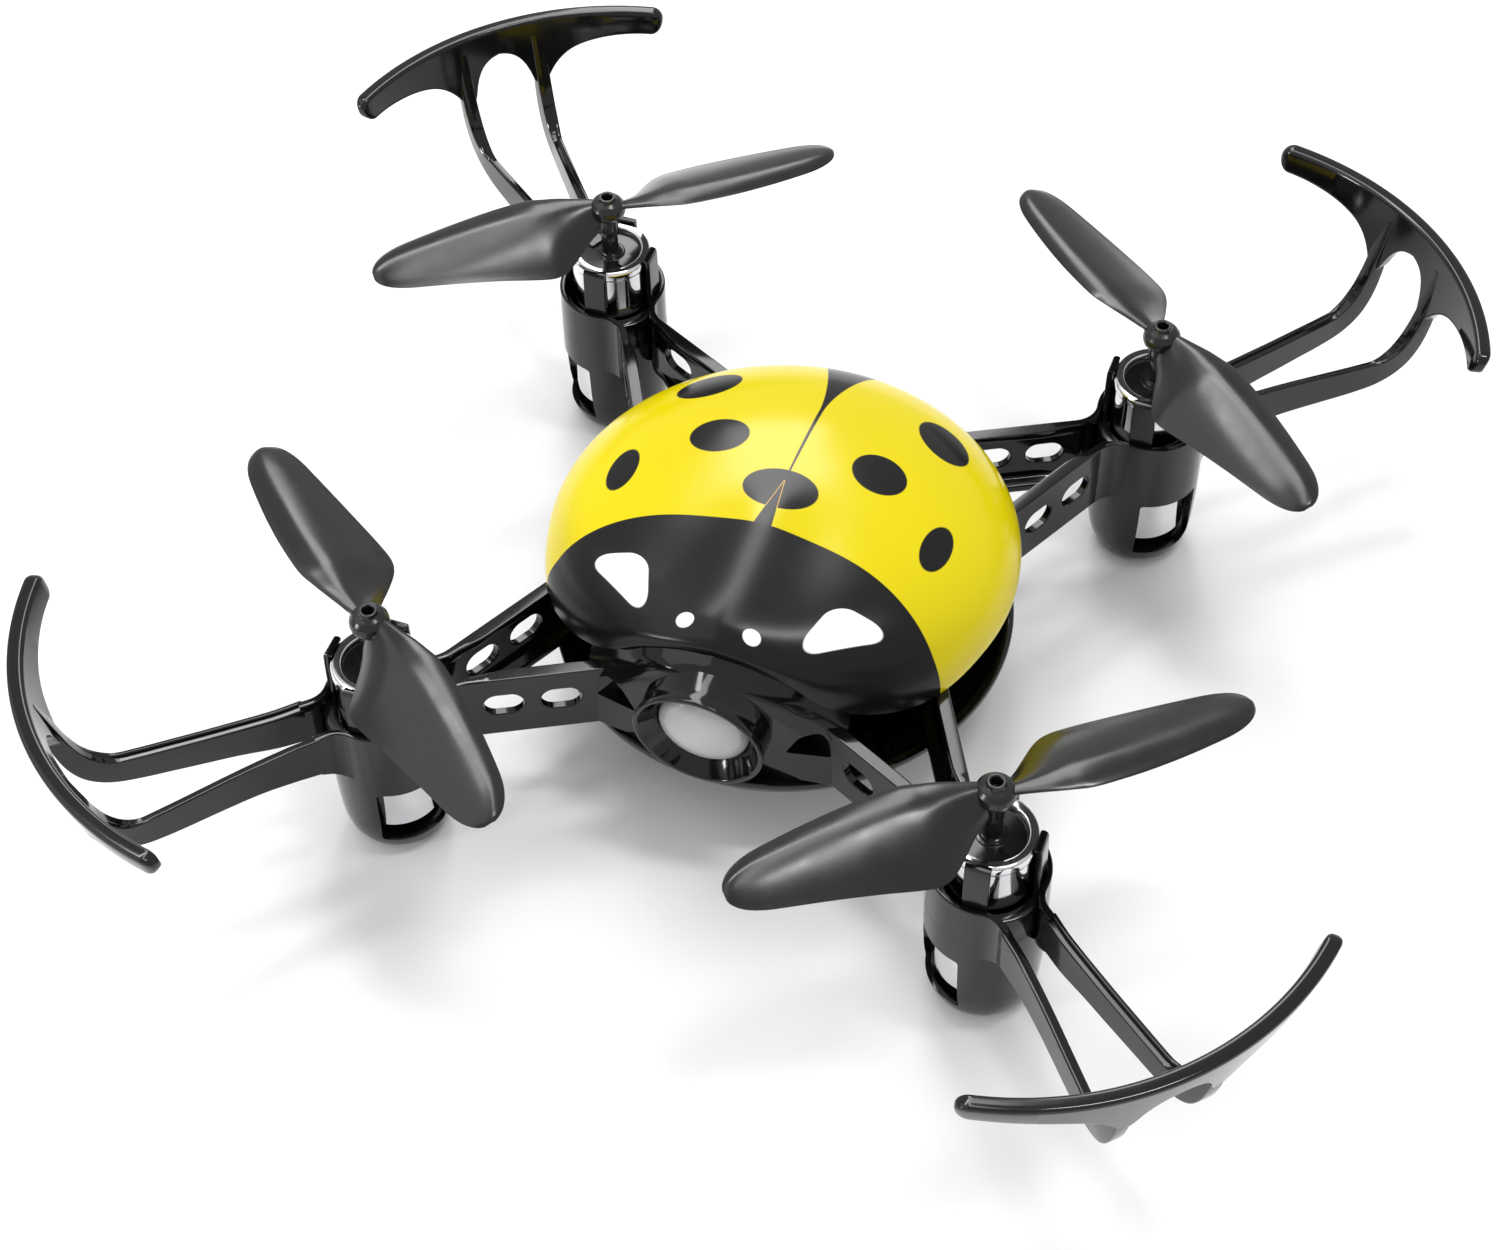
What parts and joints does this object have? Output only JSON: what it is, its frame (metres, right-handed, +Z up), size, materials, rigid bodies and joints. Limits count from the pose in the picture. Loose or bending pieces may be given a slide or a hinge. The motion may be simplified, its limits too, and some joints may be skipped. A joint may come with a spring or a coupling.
{
  "type": "palm quadcopter drone",
  "caption": "Palm-sized quadcopter with a domed spotted shell, open twin-rail arms, tubular motor pods, free-turning propellers and curved bumper guards.",
  "frame": {"origin": "on the ground plane, midway between the four motors", "axes": "+Z up along the motor shafts, the headlamp faces -Y, +X is the drone's own left side; left and right in the node names are as a viewer facing its front sees them"},
  "size_m": [0.1032, 0.1032, 0.026],
  "materials": {
    "frame_plastic": "piano-black gloss moulding",
    "cup_plastic": "piano-black gloss moulding",
    "canopy_plastic": "glossy painted shell",
    "prop_plastic": "semi-gloss flexible plastic",
    "can_metal": "polished nickel-plated steel",
    "cap_plastic": "moulded black end cap",
    "magnet_metal": "plated magnet",
    "winding_copper": "enamelled copper winding",
    "shaft_steel": "ground steel",
    "lens_pearl": "pearl-silver domed lens",
    "board_laminate": "coated circuit board",
    "chip_black": "moulded packages",
    "cell_wrap": "foil wrap",
    "connector_white": "moulded connector",
    "led_clear": "clear emitter",
    "switch_black": "moulded switch",
    "socket_metal": "stamped shell",
    "screw_steel": "blackened steel screw"
  },
  "bodies": {
    "airframe": {"canopy": "canopy_plastic", "main_frame": "frame_plastic", "bottom_tray": "frame_plastic", "lens_barrel": "frame_plastic", "headlamp_lens": "lens_pearl", "main_board": "board_laminate", "board_chips": "chip_black", "battery": "cell_wrap", "battery_socket": "connector_white", "battery_plug": "connector_white", "headlamp_led": "led_clear", "power_switch": "switch_black", "charge_socket": "socket_metal", "tray_screws": "screw_steel", "canopy_screws": "screw_steel", "motor_cup_front_left": "cup_plastic", "prop_guard_front_left": "frame_plastic", "motor_can_front_left": "can_metal", "motor_endcap_front_left": "cap_plastic", "motor_magnet_front_left": "magnet_metal", "motor_cup_front_right": "cup_plastic", "prop_guard_front_right": "frame_plastic", "motor_can_front_right": "can_metal", "motor_endcap_front_right": "cap_plastic", "motor_magnet_front_right": "magnet_metal", "motor_cup_rear_right": "cup_plastic", "prop_guard_rear_right": "frame_plastic", "motor_can_rear_right": "can_metal", "motor_endcap_rear_right": "cap_plastic", "motor_magnet_rear_right": "magnet_metal", "motor_cup_rear_left": "cup_plastic", "prop_guard_rear_left": "frame_plastic", "motor_can_rear_left": "can_metal", "motor_endcap_rear_left": "cap_plastic", "motor_magnet_rear_left": "magnet_metal"},
    "switch_slider": {"switch_slider": "switch_black"},
    "rotor_front_left": {"propeller_front_left": "prop_plastic", "motor_shaft_front_left": "shaft_steel", "motor_winding_front_left": "winding_copper"},
    "rotor_front_right": {"propeller_front_right": "prop_plastic", "motor_shaft_front_right": "shaft_steel", "motor_winding_front_right": "winding_copper"},
    "rotor_rear_right": {"propeller_rear_right": "prop_plastic", "motor_shaft_rear_right": "shaft_steel", "motor_winding_rear_right": "winding_copper"},
    "rotor_rear_left": {"propeller_rear_left": "prop_plastic", "motor_shaft_rear_left": "shaft_steel", "motor_winding_rear_left": "winding_copper"}
  },
  "joints": [
    {"name": "prop_spin_front_left", "type": "hinge", "parent": "airframe", "child": "rotor_front_left", "pos_m": [-0.025, -0.025, 0.0244], "axis": [0, 0, 1], "continuous": true},
    {"name": "prop_spin_front_right", "type": "hinge", "parent": "airframe", "child": "rotor_front_right", "pos_m": [0.025, -0.025, 0.0244], "axis": [0, 0, 1], "continuous": true},
    {"name": "prop_spin_rear_right", "type": "hinge", "parent": "airframe", "child": "rotor_rear_right", "pos_m": [0.025, 0.025, 0.0244], "axis": [0, 0, 1], "continuous": true},
    {"name": "prop_spin_rear_left", "type": "hinge", "parent": "airframe", "child": "rotor_rear_left", "pos_m": [-0.025, 0.025, 0.0244], "axis": [0, 0, 1], "continuous": true},
    {"name": "power_slide", "type": "slide", "parent": "airframe", "child": "switch_slider", "axis": [1, 0, 0], "range_m": [0, 0.0022]}
  ]
}
